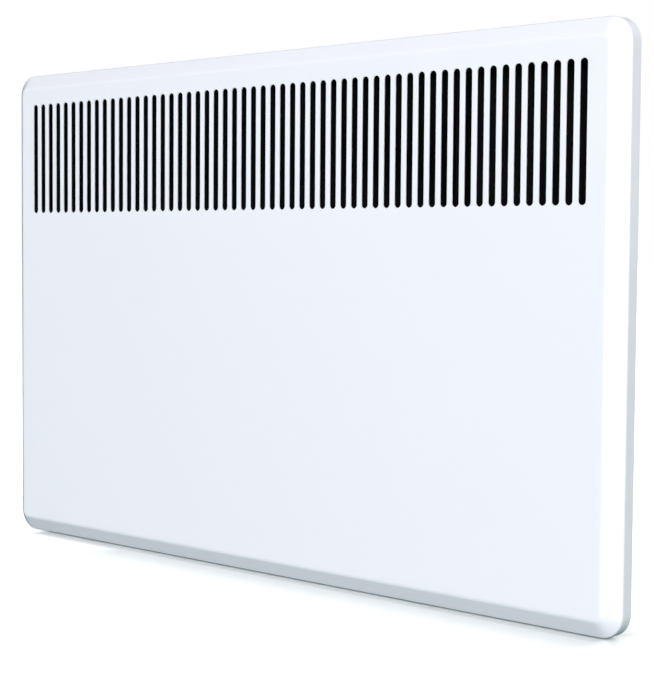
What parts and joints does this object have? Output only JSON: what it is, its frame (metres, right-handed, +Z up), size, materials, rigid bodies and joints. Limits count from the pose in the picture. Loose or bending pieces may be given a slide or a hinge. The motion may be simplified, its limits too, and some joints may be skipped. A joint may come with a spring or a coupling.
{
  "type": "wall panel convector heater",
  "caption": "Wall panel convector heater: slotted steel front with a bevelled rim, rear casing holding a finned element and controls, and a lift-off wall bracket.",
  "frame": {"origin": "centre of the wall bracket's four screw holes, on the wall's plane", "axes": "+Y into the wall, so the slotted front faces -Y; +Z up; +X to the right as seen from the room"},
  "size_m": [0.64, 0.085, 0.4],
  "materials": {
    "panel_white": "satin powder coat",
    "casing_white": "satin powder coat",
    "duct_black": "matt heat-proof paint",
    "guard_black": "satin",
    "bright_sheet": "bright rolled sheet",
    "galvanised": "zinc-coated sheet",
    "zinc": "zinc plate",
    "rod_steel": "oxidised stainless",
    "fin_aluminium": "mill finish",
    "ceramic": "unglazed steatite",
    "rubber_black": "matt",
    "plastic_white": "fine moulded grain",
    "plastic_grey": "moulded",
    "plastic_black": "moulded",
    "button_red": "moulded",
    "lens_amber": "clear moulded",
    "lamp_glass": "clear glass",
    "copper": "drawn copper",
    "brass": "turned",
    "lead_brown": "silicone insulation",
    "lead_blue": "silicone insulation",
    "lead_green": "silicone insulation",
    "lead_black": "silicone insulation",
    "lead_red": "silicone insulation"
  },
  "bodies": {
    "bracket": {"bracket_arm_left": "galvanised", "bracket_arm_right": "galvanised", "bracket_bar": "galvanised"},
    "heater": {"front_panel": "panel_white", "rear_casing": "casing_white", "casing_flange": "casing_white", "inlet_guard": "guard_black", "outlet_duct": "duct_black", "heat_shield": "bright_sheet", "partition": "galvanised", "wiring_cover": "galvanised", "panel_screws": "zinc", "casing_screws": "zinc", "front_screws": "zinc", "wall_buffers": "rubber_black", "heater_rod": "rod_steel", "heating_fins": "fin_aluminium", "element_support": "galvanised", "ceramic_bushes": "ceramic", "rod_seals": "ceramic", "rod_pins": "zinc", "cutout_body": "plastic_black", "cutout_bracket": "galvanised", "control_fascia": "plastic_white", "thermostat_body": "plastic_grey", "power_switch": "plastic_black", "economy_switch": "plastic_black", "pilot_lens": "lens_amber", "pilot_lamp": "lamp_glass", "sensor_bulb": "copper", "sensor_capillary": "copper", "bulb_clips": "plastic_black", "cord_gland": "plastic_white", "gland_nut": "plastic_white", "cord_clamp_base": "plastic_white", "cord_clamp_bar": "plastic_white", "clamp_screws": "zinc", "terminal_block": "plastic_white", "terminal_screws": "brass", "earth_stud": "zinc", "earth_nut": "brass", "earth_ring": "brass", "lead_live": "lead_brown", "lead_neutral": "lead_blue", "lead_earth": "lead_green", "lead_switched": "lead_brown", "lead_bridge": "lead_brown", "lead_setback": "lead_black", "lead_heat": "lead_red", "lead_element": "lead_red"},
    "knob": {"thermostat_knob": "plastic_white", "thermostat_spindle": "zinc"},
    "power_rocker": {"power_rocker": "plastic_black"},
    "economy_rocker": {"economy_rocker": "plastic_black"},
    "reset_button": {"reset_button": "button_red"}
  },
  "joints": [
    {"name": "heater_lift", "type": "slide", "parent": "bracket", "child": "heater", "axis": [0, 0, 1], "range_m": [0, 0.01]},
    {"name": "thermostat_turn", "type": "hinge", "parent": "heater", "child": "knob", "pos_m": [0.209, -0.0435, 0.18], "axis": [0, 0, -1], "range_deg": [0, 270]},
    {"name": "power_rock", "type": "hinge", "parent": "heater", "child": "power_rocker", "pos_m": [0.245, -0.0435, 0.171], "axis": [-1, 0, 0], "range_deg": [0, 22]},
    {"name": "economy_rock", "type": "hinge", "parent": "heater", "child": "economy_rocker", "pos_m": [0.263, -0.0435, 0.171], "axis": [-1, 0, 0], "range_deg": [0, 22]},
    {"name": "cutout_reset", "type": "slide", "parent": "heater", "child": "reset_button", "axis": [0, 0, 1], "range_m": [0, 0.0015], "stiffness_N_per_m": 400, "springref_m": -0.001}
  ]
}
